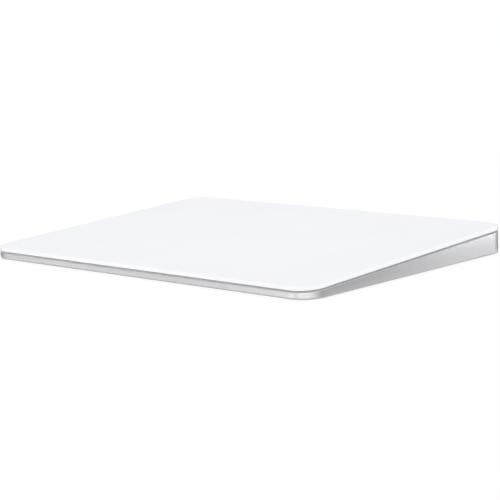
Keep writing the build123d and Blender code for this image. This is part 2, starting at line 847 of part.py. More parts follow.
haptic_rear_y = haptic_y + haptic_depth / 2
haptic_tab_x = pole_face_x + pole_length / 2
with BuildPart() as haptic_flex:
    with BuildSketch(Plane.XY.offset(floor_top)):
        with Locations((0, haptic_rear_y + haptic_flex_tab / 2)):
            Rectangle(2 * haptic_tab_x + haptic_flex_width, haptic_flex_tab)
    extrude(amount=flex_thickness)
    with BuildSketch(Plane.XY.offset(floor_top)):
        with Locations(
            (-haptic_tab_x, haptic_rear_y + flex_thickness / 2),
            (haptic_tab_x, haptic_rear_y + flex_thickness / 2),
        ):
            Rectangle(haptic_flex_width, flex_thickness)
    extrude(amount=bracket_thickness + haptic_height / 2)
    run_plane = Plane(origin=(-haptic_flex_width / 2, 0, 0), x_dir=(0, 1, 0), z_dir=(1, 0, 0))
    flex_on_floor_z = floor_top + flex_thickness / 2
    with BuildSketch(run_plane):
        with BuildLine():
            Polyline(
                (haptic_rear_y + flex_thickness, flex_on_floor_z),
                (battery_rear_y, flex_on_floor_z),
                (board_front_y - flex_thickness, board_top + connector_height),
                (board_connector_y - connector_depth / 2, flex_on_board_z),
                (board_connector_y + connector_depth / 2, flex_on_board_z),
            )
        trace(line_width=flex_thickness)
    extrude(amount=haptic_flex_width)
save(haptic_flex, "haptic_flex")


def on_deck(s, drop):
    """Plan position and height of a point s along the deck and drop below it."""
    point = deck_down(drop).from_local_coords(Vector(0, s, 0))
    return point.Y, point.Z


# Gauge ribbons: over both gauges of one side, down to the floor between them, then to the board
gauge_flex_drop = beam_drop - gauge_thickness - flex_thickness / 2
ribbon_edge = beam_neck_width / 2 + gauge_ribbon_run_out
with BuildPart() as gauge_connectors:
    with BuildSketch(Plane.XY.offset(board_top)):
        with Locations((-beam_neck_x, board_connector_y), (beam_neck_x, board_connector_y)):
            Rectangle(gauge_connector_width, connector_depth)
    extrude(amount=connector_height)
save(gauge_connectors, "gauge_connectors")

for side_name, side in (("left", -1), ("right", 1)):
    with BuildPart() as gauge_ribbon:
        gauge_ribbon_plane = Plane(
            origin=(side * beam_neck_x - gauge_ribbon_width / 2, 0, 0),
            x_dir=(0, 1, 0),
            z_dir=(1, 0, 0),
        )
        front_foot_y, _ = on_deck(beam_front_s + ribbon_edge + gauge_ribbon_run_out, beam_drop)
        rear_foot_y, _ = on_deck(beam_rear_s - ribbon_edge - gauge_ribbon_run_out, beam_drop)
        with BuildSketch(gauge_ribbon_plane):
            with BuildLine():
                Polyline(
                    on_deck(beam_front_s - gauge_width / 2, gauge_flex_drop),
                    on_deck(beam_front_s + ribbon_edge, gauge_flex_drop),
                    (front_foot_y, flex_on_floor_z),
                    (rear_foot_y, flex_on_floor_z),
                    on_deck(beam_rear_s - ribbon_edge, gauge_flex_drop),
                    on_deck(beam_rear_s + ribbon_edge, gauge_flex_drop),
                    (board_connector_y - connector_depth / 2, flex_on_board_z),
                    (board_connector_y + connector_depth / 2, flex_on_board_z),
                )
            trace(line_width=flex_thickness)
        extrude(amount=gauge_ribbon_width)
    save(gauge_ribbon, f"gauge_ribbon_{side_name}")

# Port shell: a drawn oval tube with two legs in the board
port_plane = Plane(
    origin=(0, rear_y - port_mouth_recess, port_height), x_dir=(-1, 0, 0), z_dir=(0, 1, 0)
)
port_inner_width = port_shell_width - 2 * port_shell_thickness
port_inner_height = port_shell_height - 2 * port_shell_thickness
with BuildPart() as port_shell:
    with BuildSketch(port_plane):
        SlotOverall(port_shell_width, port_shell_height)
        SlotOverall(port_inner_width, port_inner_height, mode=Mode.SUBTRACT)
    extrude(amount=-port_shell_length)
    with BuildSketch(Plane.XY.offset(board_bottom)):
        with Locations((-port_leg_x, port_leg_y), (port_leg_x, port_leg_y)):
            Rectangle(port_shell_thickness, port_leg_width)
    extrude(amount=port_height - board_bottom)
save(port_shell, "port_shell")

# Port insulator: the block at the back of the shell and the tongue that a plug goes over
tongue_length = port_shell_length - port_insulator_depth - port_tongue_setback
tongue_tip_y = rear_y - port_mouth_recess - port_tongue_setback
with BuildPart() as port_insulator:
    with BuildSketch(port_plane.offset(-port_shell_length)):
        SlotOverall(port_inner_width, port_inner_height)
    extrude(amount=port_insulator_depth)
    with BuildSketch(port_plane.offset(port_insulator_depth - port_shell_length)):
        Rectangle(port_tongue_width, port_tongue_thickness)
    extrude(amount=tongue_length)
    fillet(
        faces().sort_by(Axis.Y)[-1].edges().filter_by(Axis.Z), radius=port_tongue_thickness / 2
    )
save(port_insulator, "port_insulator")

with BuildPart() as port_contacts:
    for face_side in (-1, 1):
        contact_plane = Plane.XY.offset(port_height + face_side * port_tongue_thickness / 2)
        contact_y = tongue_tip_y - port_contact_setback - port_contact_length / 2
        with BuildSketch(contact_plane):
            with Locations((0, contact_y)):
                with GridLocations(port_contact_pitch, 0, port_contact_count, 1):
                    Rectangle(port_contact_width, port_contact_length)
        extrude(amount=face_side * port_contact_thickness)
save(port_contacts, "port_contacts")

# Power switch, from the outside in: slider, backing plate with its coloured marker, clip and body
slider_rest_x = switch_x + switch_travel / 2
slider_front_y = rear_y - slider_recess
slider_back_y = rear_wall_inner_y + slider_back_clearance
plate_inner_y = rear_wall_inner_y - switch_plate_thickness
clip_rear_y = plate_inner_y - clip_gap
clip_front_y = clip_rear_y - clip_thickness
switch_body_rear_y = clip_front_y - clip_gap
stem_tip_y = switch_body_rear_y - switch_slot_depth + stem_clearance


def facing_rear(x, y):
    """A sketch plane at plan place x, y and the port's height, whose normal points to the rear."""
    return Plane(origin=(x, y, port_height), x_dir=(-1, 0, 0), z_dir=(0, 1, 0))


with BuildPart() as power_slider:
    with BuildSketch(facing_rear(slider_rest_x, slider_back_y)):
        SlotOverall(slider_length, slider_height)
    extrude(amount=slider_front_y - slider_back_y)
    chamfer(faces().sort_by(Axis.Y)[-1].edges(), length=slider_edge_bevel)
    with BuildSketch(facing_rear(slider_rest_x, slider_back_y)):
        Rectangle(stem_length, stem_height)
    extrude(amount=stem_tip_y - slider_back_y)
save(power_slider, "power_slider")

window_length = stem_length + switch_travel + 2 * stem_clearance
with BuildPart() as switch_plate:
    with BuildSketch(facing_rear(switch_x, plate_inner_y)):
        Rectangle(slot_length + 2 * switch_plate_margin, slot_height + 2 * switch_plate_margin)
        Rectangle(window_length, stem_height + 2 * stem_clearance, mode=Mode.SUBTRACT)
    extrude(amount=switch_plate_thickness)
save(switch_plate, "switch_plate")

# The marker shows in the end of the slot that the slider leaves when it is switched on
with BuildPart() as on_marker:
    marker_inner_x = window_length / 2 + stem_clearance
    marker_outer_x = slot_length / 2
    with BuildSketch(facing_rear(switch_x, rear_wall_inner_y)):
        SlotOverall(slot_length, slot_height)
        with Locations(((marker_outer_x + overrun - marker_inner_x) / 2, 0)):
            Rectangle(
                marker_outer_x + overrun + marker_inner_x, slot_height + overrun, mode=Mode.SUBTRACT
            )
    extrude(amount=marker_thickness)
save(on_marker, "on_marker")

with BuildPart() as slider_clip:
    with BuildSketch(facing_rear(slider_rest_x, clip_front_y)):
        Rectangle(stem_length + 2 * clip_margin, stem_height + 2 * clip_margin)
        Rectangle(stem_length, stem_height, mode=Mode.SUBTRACT)
    extrude(amount=clip_thickness)
save(slider_clip, "slider_clip")

with BuildPart() as switch_body:
    switch_body_y = switch_body_rear_y - switch_body_depth / 2
    with BuildSketch(Plane.XY.offset(board_top)):
        with Locations((switch_x, switch_body_y)):
            Rectangle(switch_body_length, switch_body_depth)
    extrude(amount=switch_body_height)
    with BuildSketch(facing_rear(switch_x, switch_body_rear_y)):
        Rectangle(window_length, stem_height + 2 * stem_clearance)
    extrude(amount=-switch_slot_depth, mode=Mode.SUBTRACT)
save(switch_body, "switch_body")

print("wall outline", width, depth, "tilt", round(tilt, 2), "port height", round(port_height, 2))
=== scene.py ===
import json
import math

import bpy
from mathutils import Euler, Matrix, Vector


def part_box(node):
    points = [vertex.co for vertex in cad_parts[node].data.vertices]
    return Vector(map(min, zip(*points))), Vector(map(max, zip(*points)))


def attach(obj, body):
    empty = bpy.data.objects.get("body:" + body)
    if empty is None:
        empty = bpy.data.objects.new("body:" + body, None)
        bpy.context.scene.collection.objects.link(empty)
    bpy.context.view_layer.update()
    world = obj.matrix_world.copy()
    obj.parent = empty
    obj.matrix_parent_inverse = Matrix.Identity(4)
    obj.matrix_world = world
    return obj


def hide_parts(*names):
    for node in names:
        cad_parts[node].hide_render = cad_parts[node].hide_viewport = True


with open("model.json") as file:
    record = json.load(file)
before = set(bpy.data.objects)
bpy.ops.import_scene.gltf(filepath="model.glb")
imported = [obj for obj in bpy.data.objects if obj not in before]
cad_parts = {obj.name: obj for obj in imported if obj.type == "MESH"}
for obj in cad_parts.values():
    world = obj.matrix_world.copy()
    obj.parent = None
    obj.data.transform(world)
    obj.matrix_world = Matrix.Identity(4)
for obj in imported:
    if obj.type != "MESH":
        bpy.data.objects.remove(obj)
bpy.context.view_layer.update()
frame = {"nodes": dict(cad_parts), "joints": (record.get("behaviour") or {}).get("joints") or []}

# A desk trackpad: a white glass touch plate on a blasted and anodised aluminium wedge.
# Everything is in metres, in the part's own frame: +X right, +Y to the rear, +Z up.
mm = 0.001
straight_up = Vector((0, 0, 1))
body_low, body_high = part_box("base_housing")
# The plate is pressed square to the tilted deck
press_axis = next(joint["axis"] for joint in frame["joints"] if joint["name"] == "plate_press")
deck_normal = -Vector(press_axis).normalized()

bpy.ops.object.select_all(action="DESELECT")


# The camera of the photograph. Pixel sizes are those of its 500 x 500 frame.
photo_width_px = 500
focal_length_px = 1601.1
centre_shift_px = Vector((5.9, -7.2))
view_azimuth = 42.635
view_elevation = 9.123
view_roll = -1.886
view_distance = 607.7 * mm
near_clip_share = 0.01
aim_height = 5 * mm


def place_camera():
    """A camera that frames the trackpad as the photograph does."""
    turn = Euler((math.radians(90 - view_elevation), 0, math.radians(view_azimuth))).to_matrix()
    turn = turn @ Matrix.Rotation(math.radians(view_roll), 3, "Z")
    place = Vector((0, 0, aim_height)) + turn @ Vector((0, 0, view_distance))
    bpy.ops.object.camera_add()
    camera = bpy.context.object
    camera.name = "photo_camera"
    camera.matrix_world = Matrix.Translation(place) @ turn.to_4x4()
    camera.data.lens = focal_length_px / photo_width_px * camera.data.sensor_width
    camera.data.shift_x = centre_shift_px.x / photo_width_px
    camera.data.shift_y = centre_shift_px.y / photo_width_px
    camera.data.clip_start = view_distance * near_clip_share
    bpy.context.scene.camera = camera


def linear(hex_colour):
    """A linear RGBA colour from an sRGB hex value, by the sRGB standard's own formula."""
    levels = [int(hex_colour[start:start + 2], 16) / 255 for start in (1, 3, 5)]
    return [
        level / 12.92 if level <= 0.04045 else ((level + 0.055) / 1.055) ** 2.4
        for level in levels
    ] + [1]


def add_node(tree, kind, inputs=None, **settings):
    """Adds a node. Inputs map its sockets to values, or to the outputs that feed them."""
    node = tree.nodes.new(kind)
    for name, value in settings.items():
        setattr(node, name, value)
    for socket, value in (inputs or {}).items():
        if isinstance(value, bpy.types.NodeSocket):
            tree.links.new(value, node.inputs[socket])
        else:
            node.inputs[socket].default_value = value
    return node


# Sockets of the Mix node when it mixes colours
mix_factor, mix_a, mix_b, mix_colour = 0, 6, 7, 2
# Most of a noise's values lie between these
noise_low, noise_high = 0.3, 0.7
# The bands of a wave lie math.tau / 20 apart at scale 1, so with this factor they are drawn
# about twice as far apart as the real ones
wave_stretch = 6.3


def per_metre(size_mm):
    """The scale of a pattern whose features are size_mm across."""
    return 1 / (size_mm * mm)


def bands_per_metre(spacing_mm):
    """The scale of a wave that stands for real bands spacing_mm apart."""
    return per_metre(spacing_mm * wave_stretch)


def start_finish(name, colour, roughness, metallic=0.0, ior=1.5):
    """A material with the shader's all-over values set on its own sockets."""
    material = bpy.data.materials.new(name)
    material.use_nodes = True
    tree = material.node_tree
    shader = tree.nodes["Principled BSDF"]
    shader.inputs["Base Color"].default_value = linear(colour)
    shader.inputs["Metallic"].default_value = metallic
    shader.inputs["Roughness"].default_value = roughness
    shader.inputs["IOR"].default_value = ior
    place = add_node(tree, "ShaderNodeTexCoord")
    return material, tree, shader, place.outputs["Object"]


def add_grain(tree, shader, place, size_mm, height_mm, roughness):
    """A fine grain of bumps, and a roughness that varies with it from a low to a high value."""
    noise = add_node(
        tree, "ShaderNodeTexNoise",
        {"Vector": place, "Scale": per_metre(size_mm), "Detail": 3, "Roughness": 0.6},
    )
    bump = add_node(
        tree, "ShaderNodeBump", {"Height": noise.outputs["Fac"], "Distance": height_mm * mm}
    )
    spread = add_node(
        tree, "ShaderNodeMapRange",
        {
            "Value": noise.outputs["Fac"], "From Min": noise_low, "From Max": noise_high,
            "To Min": roughness[0], "To Max": roughness[1],
        },
    )
    tree.links.new(bump.outputs["Normal"], shader.inputs["Normal"])
    tree.links.new(spread.outputs["Result"], shader.inputs["Roughness"])


def add_mottle(tree, shader, place, size_mm, colour_low, colour_high):
    """A colour that drifts between two values over patches of a size in mm."""
    noise = add_node(
        tree, "ShaderNodeTexNoise", {"Vector": place, "Scale": per_metre(size_mm), "Detail": 2}
    )
    share = add_node(
        tree, "ShaderNodeMapRange",
        {"Value": noise.outputs["Fac"], "From Min": noise_low, "From Max": noise_high},
    )
    mix = add_node(
        tree, "ShaderNodeMix",
        {
            mix_factor: share.outputs["Result"],
            mix_a: linear(colour_low),
            mix_b: linear(colour_high),
        },
        data_type="RGBA",
    )
    tree.links.new(mix.outputs[mix_colour], shader.inputs["Base Color"])
    return mix


def blasted_anodised_aluminium():
    # Bead-blasted and clear-anodised aluminium: a silver satin that blurs what it reflects
    material, tree, shader, place = start_finish(
        "blasted_anodised_aluminium", "#DEDEDF", metallic=1.0, roughness=0.31
    )
    # The blasted grit is about 0.1 mm across, drawn at 0.3 mm so that it shows
    add_grain(tree, shader, place, size_mm=0.3, height_mm=0.001, roughness=(0.29, 0.33))
    add_mottle(tree, shader, place, size_mm=6, colour_low="#DDDDDE", colour_high="#E0E0E1")
    return material


def etched_white_glass():
    # Chemically strengthened glass, white paint behind it: silky on top from the etching and clear
    # where the edge is polished. The edge's colour is also painted whiter, as painted light
    polished_roughness, etched_roughness = 0.12, 0.5
    # How far a surface looks up from the deck: 1 lies flat on it, 0 stands upright
    polished_facing, etched_facing = 0.9, 0.995
    # Below the first facing the glass is painted fully white as painted light, and above the
    # second its paint is plain
    painted_light_facing, plain_facing = 0.5, 0.99
    material, tree, shader, place = start_finish(
        "etched_white_glass", "#F5F6FA", roughness=0.32, ior=1.5
    )
    paint = add_mottle(
        tree, shader, place, size_mm=30, colour_low="#F4F5F9", colour_high="#F6F7FB"
    )
    # The etching is under 0.05 mm across, drawn at 0.4 mm so that it shows
    noise = add_node(
        tree, "ShaderNodeTexNoise", {"Vector": place, "Scale": per_metre(0.4), "Detail": 2}
    )
    bump = add_node(
        tree, "ShaderNodeBump", {"Height": noise.outputs["Fac"], "Distance": 0.0004 * mm}
    )
    tree.links.new(bump.outputs["Normal"], shader.inputs["Normal"])
    # Facing up the glass is etched, and towards its sides it is polished
    facing = add_node(tree, "ShaderNodeTexCoord")
    upward = add_node(
        tree, "ShaderNodeVectorMath",
        {0: facing.outputs["Normal"], 1: deck_normal},
        operation="DOT_PRODUCT",
    )
    polish = add_node(
        tree, "ShaderNodeMapRange",
        {
            "Value": upward.outputs["Value"],
            "From Min": polished_facing, "From Max": etched_facing,
            "To Min": polished_roughness, "To Max": etched_roughness,
        },
    )
    # The edge is painted whiter than the face: painted light for the light that gathers in the
    # glass and leaves by its edge
    edge = add_node(
        tree, "ShaderNodeMapRange",
        {
            "Value": upward.outputs["Value"],
            "From Min": painted_light_facing, "From Max": plain_facing,
            "To Min": 1.0, "To Max": 0.0,
        },
    )
    whole = add_node(
        tree, "ShaderNodeMix",
        {
            mix_factor: edge.outputs["Result"],
            mix_a: paint.outputs[mix_colour],
            mix_b: linear("#FEFEFF"),
        },
        data_type="RGBA",
    )
    tree.links.new(whole.outputs[mix_colour], shader.inputs["Base Color"])
    tree.links.new(polish.outputs["Result"], shader.inputs["Roughness"])
    return material


def closed_cell_foam():
    # Grey closed-cell foam: dull, with pores that catch a little light
    material, tree, shader, place = start_finish("closed_cell_foam", "#B4B6B9", roughness=0.9)
    add_grain(tree, shader, place, size_mm=0.3, height_mm=0.05, roughness=(0.8, 0.95))
    return material


def moulded_rubber():
    # Moulded silicone rubber: light grey, dull, with a faint spark-eroded skin
    material, tree, shader, place = start_finish("moulded_rubber", "#C2C3C6", roughness=0.6)
    # The erosion marks are under 0.1 mm across, drawn at 0.4 mm so that they show
    add_grain(tree, shader, place, size_mm=0.4, height_mm=0.01, roughness=(0.5, 0.7))
    add_mottle(tree, shader, place, size_mm=3, colour_low="#BFC0C3", colour_high="#C6C7CA")
    return material


def clear_bond_film():
    # Optically clear adhesive film: milky at its cut edge
    material, tree, shader, place = start_finish("clear_bond_film", "#E6E8EA", roughness=0.25)
    add_mottle(tree, shader, place, size_mm=5, colour_low="#E2E4E6", colour_high="#EAECEE")
    return material


def solder_masked_board():
    # Glass-epoxy board under matt black solder mask: traces show as faint raised lines
    material, tree, shader, place = start_finish("solder_masked_board", "#15181A", roughness=0.45)
    # In millimetres: traces 0.12 wide lie 0.6 apart, with a crossing every 2.4
    bricks = add_node(
        tree, "ShaderNodeTexBrick",
        {
            "Vector": place, "Scale": per_metre(1), "Color1": linear("#15181A"),
            "Color2": linear("#181C1E"), "Mortar": linear("#22282B"), "Mortar Size": 0.06,
            "Brick Width": 2.4, "Row Height": 0.6,
        },
    )
    tree.links.new(bricks.outputs["Color"], shader.inputs["Base Color"])
    bump = add_node(
        tree, "ShaderNodeBump", {"Height": bricks.outputs["Fac"], "Distance": 0.03 * mm}
    )
    tree.links.new(bump.outputs["Normal"], shader.inputs["Normal"])
    return material


def cold_rolled_steel(name, colour, roughness):
    # Cold-rolled steel sheet: rolling lines run one way and stretch the highlights
    material, tree, shader, place = start_finish(name, colour, metallic=1.0, roughness=roughness)
    # The lines are under 0.1 mm apart, drawn at 0.2 mm so that they show, and run along X
    stretched = add_node(tree, "ShaderNodeMapping", {"Vector": place, "Scale": (0.05, 1, 1)})
    add_grain(
        tree, shader, stretched.outputs["Vector"],
        size_mm=0.2, height_mm=0.004, roughness=(roughness - 0.06, roughness + 0.08),
    )
    return material


def plated_steel(name, colour, roughness):
    # Electroplated steel: even and bright, with a soft orange-peel
    material, tree, shader, place = start_finish(name, colour, metallic=1.0, roughness=roughness)
    add_grain(
        tree, shader, place,
        size_mm=0.5, height_mm=0.002, roughness=(roughness - 0.04, roughness + 0.08),
    )
    return material


def moulded_plastic(name, colour, colour_high, roughness):
    # Moulded engineering plastic: a fine spark-eroded skin and a low, even gloss
    material, tree, shader, place = start_finish(name, colour, roughness=roughness, ior=1.46)
    # The erosion marks are under 0.1 mm across, drawn at 0.25 mm so that they show
    add_grain(
        tree, shader, place,
        size_mm=0.25, height_mm=0.006, roughness=(roughness - 0.06, roughness + 0.08),
    )
    add_mottle(tree, shader, place, size_mm=2, colour_low=colour, colour_high=colour_high)
    return material


def printed_gauge_film():
    # Strain gauge: copper-coloured foil lines on amber film
    material, tree, shader, place = start_finish("printed_gauge_film", "#B9752F", roughness=0.35)
    lines = add_node(
        tree, "ShaderNodeTexWave", {"Vector": place, "Scale": bands_per_metre(0.35)},
        bands_direction="Y",
    )
    mix = add_node(
        tree, "ShaderNodeMix",
        {mix_factor: lines.outputs["Fac"], mix_a: linear("#9A5A1E"), mix_b: linear("#D79A54")},
        data_type="RGBA",
    )
    tree.links.new(mix.outputs[mix_colour], shader.inputs["Base Color"])
    return material


def wound_copper_wire():
    # Enamelled copper wire wound in layers: orange metal, ribbed along the turns, darker in the
    # grooves between them as painted shade and lighter on their crests as painted highlight
    material, tree, shader, place = start_finish(
        "wound_copper_wire", "#B5662F", metallic=1.0, roughness=0.3
    )
    # The wire is 0.3 mm thick, and its turns, drawn at twice that, lie side by side along X
    turns = add_node(
        tree, "ShaderNodeTexWave", {"Vector": place, "Scale": bands_per_metre(0.3)},
        bands_direction="X",
    )
    bump = add_node(
        tree, "ShaderNodeBump", {"Height": turns.outputs["Fac"], "Distance": 0.1 * mm}
    )
    # The colour follows the ribs: painted shade in the grooves and a painted highlight on the
    # crests
    mix = add_node(
        tree, "ShaderNodeMix",
        {mix_factor: turns.outputs["Fac"], mix_a: linear("#6E3414"), mix_b: linear("#C9763A")},
        data_type="RGBA",
    )
    tree.links.new(bump.outputs["Normal"], shader.inputs["Normal"])
    tree.links.new(mix.outputs[mix_colour], shader.inputs["Base Color"])
    return material


def laminated_cell_pouch():
    # Aluminium-laminate pouch under a black film: soft dents and a dull sheen
    material, tree, shader, place = start_finish("laminated_cell_pouch", "#232426", roughness=0.45)
    add_grain(tree, shader, place, size_mm=4, height_mm=0.08, roughness=(0.38, 0.52))
    add_mottle(tree, shader, place, size_mm=8, colour_low="#202123", colour_high="#292A2D")
    return material


def pulled_adhesive_tape():
    # White stretch-release tape: matt, with fine lines along its length
    material, tree, shader, place = start_finish("pulled_adhesive_tape", "#ECECEA", roughness=0.7)
    stretched = add_node(tree, "ShaderNodeMapping", {"Vector": place, "Scale": (0.1, 1, 1)})
    add_grain(
        tree, shader, stretched.outputs["Vector"],
        size_mm=0.4, height_mm=0.01, roughness=(0.6, 0.8),
    )
    return material


def polyimide_ribbon():
    # Polyimide flexible circuit: amber film over copper tracks that run front to rear
    material, tree, shader, place = start_finish("polyimide_ribbon", "#A5651C", roughness=0.3)
    tracks = add_node(
        tree, "ShaderNodeTexWave", {"Vector": place, "Scale": bands_per_metre(0.5)},
        bands_direction="X",
    )
    mix = add_node(
        tree, "ShaderNodeMix",
        {mix_factor: tracks.outputs["Fac"], mix_a: linear("#8C4F12"), mix_b: linear("#C98A3B")},
        data_type="RGBA",
    )
    bump = add_node(
        tree, "ShaderNodeBump", {"Height": tracks.outputs["Fac"], "Distance": 0.02 * mm}
    )
    tree.links.new(mix.outputs[mix_colour], shader.inputs["Base Color"])
    tree.links.new(bump.outputs["Normal"], shader.inputs["Normal"])
    return material


finishes = {
    "anodised_aluminium": blasted_anodised_aluminium(),
    "white_glass": etched_white_glass(),
    "seal_foam": closed_cell_foam(),
    "foot_rubber": moulded_rubber(),
    "bond_film": clear_bond_film(),
    "circuit_board": solder_masked_board(),
    "spring_steel": cold_rolled_steel("rolled_spring_steel", "#B9BBBD", 0.3),
    "gauge_film": printed_gauge_film(),
    "silicone_pad": moulded_plastic("cast_silicone_pad", "#5A5D60", "#63666A", 0.6),
    "screw_steel": plated_steel("plated_screw_steel", "#A9ABAE", 0.28),
    "core_steel": cold_rolled_steel("laminated_core_steel", "#6E6F72", 0.42),
    "copper_winding": wound_copper_wire(),
    "tinned_steel": plated_steel("tinned_steel_sheet", "#BCBDBE", 0.3),
    "cell_pouch": laminated_cell_pouch(),
    "white_tape": pulled_adhesive_tape(),
    "chip_black": moulded_plastic("moulded_chip_epoxy", "#1A1B1C", "#212224", 0.5),
    "ribbon_polyimide": polyimide_ribbon(),
    "connector_plastic": moulded_plastic("moulded_nylon", "#202225", "#292B2E", 0.45),
    "contact_gold": plated_steel("gold_plated_contact", "#E0B25C", 0.2),
    "capacitor_ceramic": moulded_plastic("fired_capacitor_ceramic", "#9C8569", "#AB9476", 0.5),
    "port_steel": plated_steel("drawn_port_steel", "#BFC1C4", 0.28),
    "port_plastic": moulded_plastic("moulded_port_polymer", "#1B1C1E", "#222326", 0.42),
    "green_marker": moulded_plastic("printed_green_marker", "#2FA84A", "#36B152", 0.5),
}


def dress_nodes():
    """Gives each node the finish of its slot, which its packed material is named for."""
    for node in frame["nodes"].values():
        materials = node.data.materials
        materials[0] = finishes[materials[0].name]


# Detail that the plain solids leave out, on pieces that stand for them
smooth_below = math.radians(35)
# A distance that counts as none, and the gap that is closed between two turns of a winding
tiny = 0.001 * mm
weld_gap = 0.01 * mm
# Decimals of a metre that tell apart the corners of a solid, and its levels
corner_decimals = 7
level_decimals = 6
# A face looks along an axis when its normal reaches this far along it
square_limit = 0.99

# Screws. Each share is of a radius: the head's for the recess, the recess's between its lobes,
# and the thread's at its roots and at its tip
screw_sides = 24
screw_rim = 0.08 * mm
recess_share = 0.56
recess_depth = 0.2 * mm
lobes = 6
lobe_share = 0.74
thread_pitch = 0.25 * mm
thread_root_share = 0.8
tip_share = 0.7
# The plain solid's shank has this many sides
plain_shank_sides = 12

# Feet: from the rim of the sole inwards, a rounding, a flat ring and a groove
foot_sides = 64
foot_rim = 0.3 * mm
foot_land = 0.6 * mm
foot_groove = 0.35 * mm
foot_groove_depth = 0.1 * mm

# Windings: the wire and its ribs, the rounded corners, and what the bore gains on each side
wire_pitch = 0.3 * mm
wire_rib = 0.09 * mm
winding_corner = 0.35 * mm
bore_room = 0.05 * mm

# The cell: its folded seams stop short of the cell's ends and of its top and bottom
pouch_fold = 0.3 * mm
pouch_corner = 1.4 * mm
pouch_edge = 0.6 * mm
pouch_border = 1.6 * mm
pouch_dent = 0.12 * mm
fold_end_gap = 2.5 * mm
fold_edge_gap = 0.7 * mm

# Capacitors: each cap covers a share of the length, and the ceramic lies a little inside it
cap_share = 0.24
cap_edge = 0.07 * mm
ceramic_inset = 0.04 * mm


def solids_of(node_name):
    """The corner points of each separate solid of a node."""
    mesh = frame["nodes"][node_name].data
    solid_of = {}
    for face in mesh.polygons:
        corners = [mesh.vertices[index].co for index in face.vertices]
        points = [tuple(round(value, corner_decimals) for value in corner) for corner in corners]
        whole = set(points)
        for point in points:
            whole |= solid_of.get(point, set())
        for point in whole:
            solid_of[point] = whole
    solids = {id(solid): solid for solid in solid_of.values()}
    return [[Vector(point) for point in sorted(solid)] for solid in solids.values()]


def box_of(points):
    """The lowest and highest corner round some points."""
    low = Vector([min(point[axis] for point in points) for axis in range(3)])
    high = Vector([max(point[axis] for point in points) for axis in range(3)])
    return low, high


def make_active(piece):
    """Makes a piece the only selected and the active one."""
    bpy.ops.object.select_all(action="DESELECT")
    piece.select_set(True)
    bpy.context.view_layer.objects.active = piece


def add_block(low, high):
    """A block between two corners, as a start. In edit mode it joins the mesh."""
    middle = (low + high) / 2
    bpy.ops.mesh.primitive_cube_add(size=1, location=middle, scale=high - low)
    if bpy.context.mode == "OBJECT":
        bpy.ops.object.transform_apply()
    return bpy.context.object


def pick(piece, kind, wanted):
    """Opens a piece in edit mode with only its wanted faces, edges or corners selected."""
    bpy.ops.object.mode_set(mode="EDIT")
    bpy.ops.mesh.select_mode(type=kind)
    bpy.ops.mesh.select_all(action="DESELECT")
    bpy.ops.object.mode_set(mode="OBJECT")
    mesh = piece.data
    parts = {"FACE": mesh.polygons, "EDGE": mesh.edges, "VERT": mesh.vertices}[kind]
    for part in parts:
        part.select = wanted(part)
    bpy.ops.object.mode_set(mode="EDIT")


def ends_of(piece, edge):
    """The two end points of an edge."""
    return [piece.data.vertices[index].co for index in edge.vertices]


def runs_along(piece, edge, axis):
    """Whether the ends of an edge lie apart along an axis: 0, 1 or 2 for X, Y or Z."""
    start, end = ends_of(piece, edge)
    return abs(start[axis] - end[axis]) > tiny


def looks_up(face):
    """Whether a face looks along +Z."""
    return face.normal.z > square_limit


def looks_down(face):
    """Whether a face looks along -Z."""
    return face.normal.z < -square_limit


def push(z):
    """Extrudes what is selected by a step along Z."""
    bpy.ops.mesh.extrude_region_move(TRANSFORM_OT_translate={"value": (0, 0, z)})


def stretch(x=1.0, y=1.0, z=1.0, centre=(0, 0, 0)):
    """Scales what is selected about a centre."""
    bpy.ops.transform.resize(value=(x, y, z), center_override=centre)


def copy_to(piece, step, axis=straight_up):
    """A copy of a piece with its own mesh, turned from +Z to an axis and moved by a step."""
    make_active(piece)
    bpy.ops.object.duplicate()
    copy = bpy.context.object
    copy.rotation_euler = straight_up.rotation_difference(axis).to_euler()
    copy.location = step
    bpy.ops.object.transform_apply()
    return copy


def join_pieces(pieces):
    """Makes one piece of several."""
    make_active(pieces[0])
    for piece in pieces[1:]:
        piece.select_set(True)
    if len(pieces) > 1:
        bpy.ops.object.join()
    return pieces[0]


def finish_piece(piece, name, body, slot, nodes):
    """Names and dresses a modelled piece, and lets it stand for its nodes on their body."""
    make_active(piece)
    bpy.ops.object.shade_smooth_by_angle(angle=smooth_below)
    piece.name = name
    piece.data.name = name
    piece.data.materials.clear()
    piece.data.materials.append(finishes[slot])
    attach(piece, body)
    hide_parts(*nodes)


